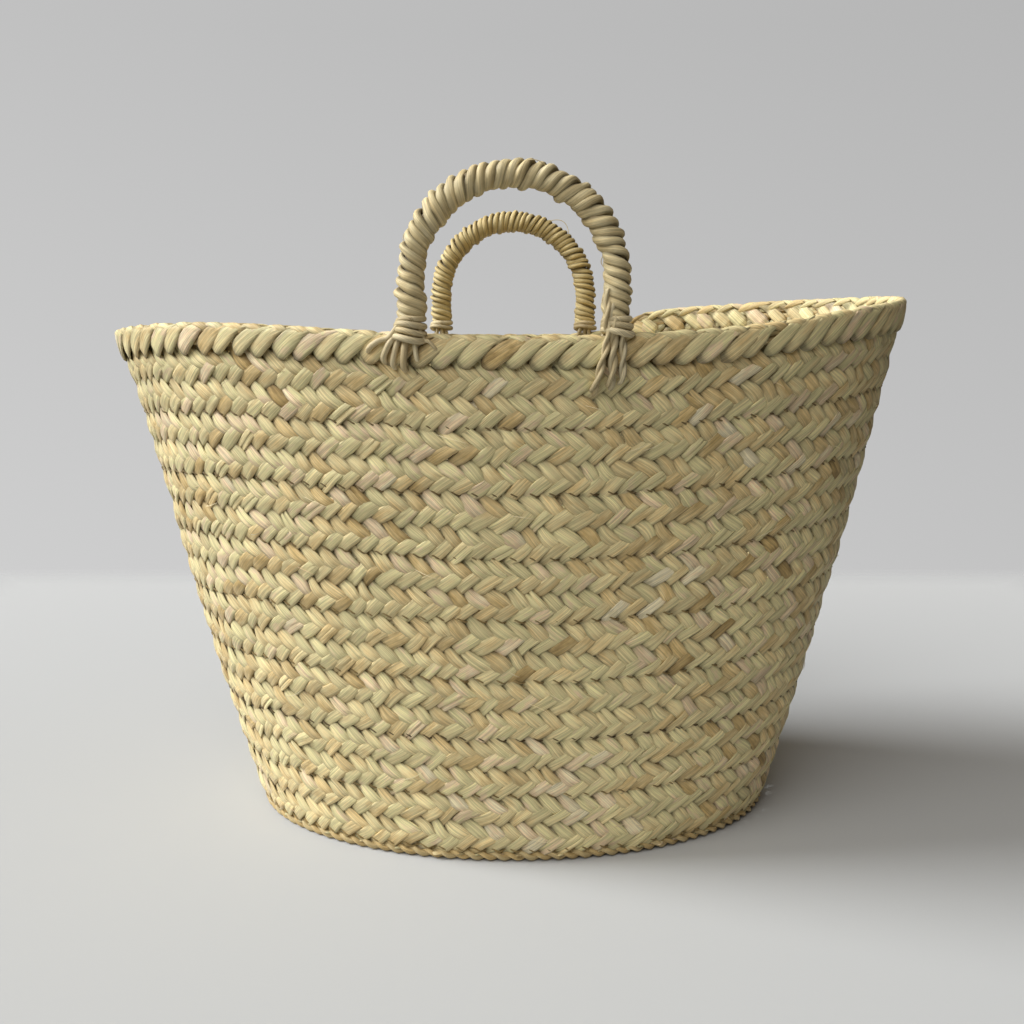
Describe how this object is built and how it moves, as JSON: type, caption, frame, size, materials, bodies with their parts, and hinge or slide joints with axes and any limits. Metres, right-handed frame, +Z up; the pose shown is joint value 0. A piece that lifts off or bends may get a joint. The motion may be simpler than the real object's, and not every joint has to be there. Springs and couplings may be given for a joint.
{
  "type": "woven market basket",
  "caption": "Oval open-top basket plaited from palm leaf, with flared walls, a folded rim and leaf-wrapped rope handles that fold down to either side.",
  "frame": {"origin": "middle of the underside, on the surface the basket stands on", "axes": "+Z up, front wall towards -Y, +X towards the right-hand end as seen from the front"},
  "size_m": [0.522, 0.2952, 0.4199],
  "materials": {
    "palm_leaf_plait": "matte woven palm leaf",
    "leaf_welt": "matte woven palm leaf",
    "esparto_lacing": "matte twisted fibre",
    "lashing_cord": "matte twisted fibre",
    "rope_core": "matte twisted fibre",
    "pale_leaf_wrap": "matte woven palm leaf",
    "golden_leaf_wrap": "matte woven palm leaf"
  },
  "bodies": {
    "basket": {"base_coil_middle": "palm_leaf_plait", "base_coil_outer": "palm_leaf_plait", "base_seam_cord_inner": "esparto_lacing", "base_seam_cord_middle": "esparto_lacing", "base_seam_cord_outer": "esparto_lacing", "base_start_plait": "palm_leaf_plait", "base_welt": "leaf_welt", "front_left_lashing": "lashing_cord", "front_right_lashing": "lashing_cord", "rear_left_lashing": "lashing_cord", "rear_right_lashing": "lashing_cord", "rim_fold": "palm_leaf_plait", "wall_course_1": "palm_leaf_plait", "wall_course_2": "palm_leaf_plait", "wall_course_3": "palm_leaf_plait", "wall_course_4": "palm_leaf_plait", "wall_course_5": "palm_leaf_plait", "wall_course_6": "palm_leaf_plait", "wall_course_7": "palm_leaf_plait", "wall_course_8": "palm_leaf_plait", "wall_seam_cord_1": "esparto_lacing", "wall_seam_cord_2": "esparto_lacing", "wall_seam_cord_3": "esparto_lacing", "wall_seam_cord_4": "esparto_lacing", "wall_seam_cord_5": "esparto_lacing", "wall_seam_cord_6": "esparto_lacing", "wall_seam_cord_7": "esparto_lacing", "wall_seam_cord_8": "esparto_lacing"},
    "front_handle": {"front_handle_core": "rope_core", "front_handle_wrap": "pale_leaf_wrap"},
    "rear_handle": {"rear_handle_core": "rope_core", "rear_handle_wrap": "golden_leaf_wrap"}
  },
  "joints": [
    {"name": "front_handle_fold", "type": "hinge", "parent": "basket", "child": "front_handle", "pos_m": [0, -0.14001, 0.3373], "axis": [1, 0, 0], "range_deg": [-90, 90]},
    {"name": "rear_handle_fold", "type": "hinge", "parent": "basket", "child": "rear_handle", "pos_m": [0, 0.14001, 0.33241], "axis": [1, 0, 0], "range_deg": [-90, 90]}
  ]
}
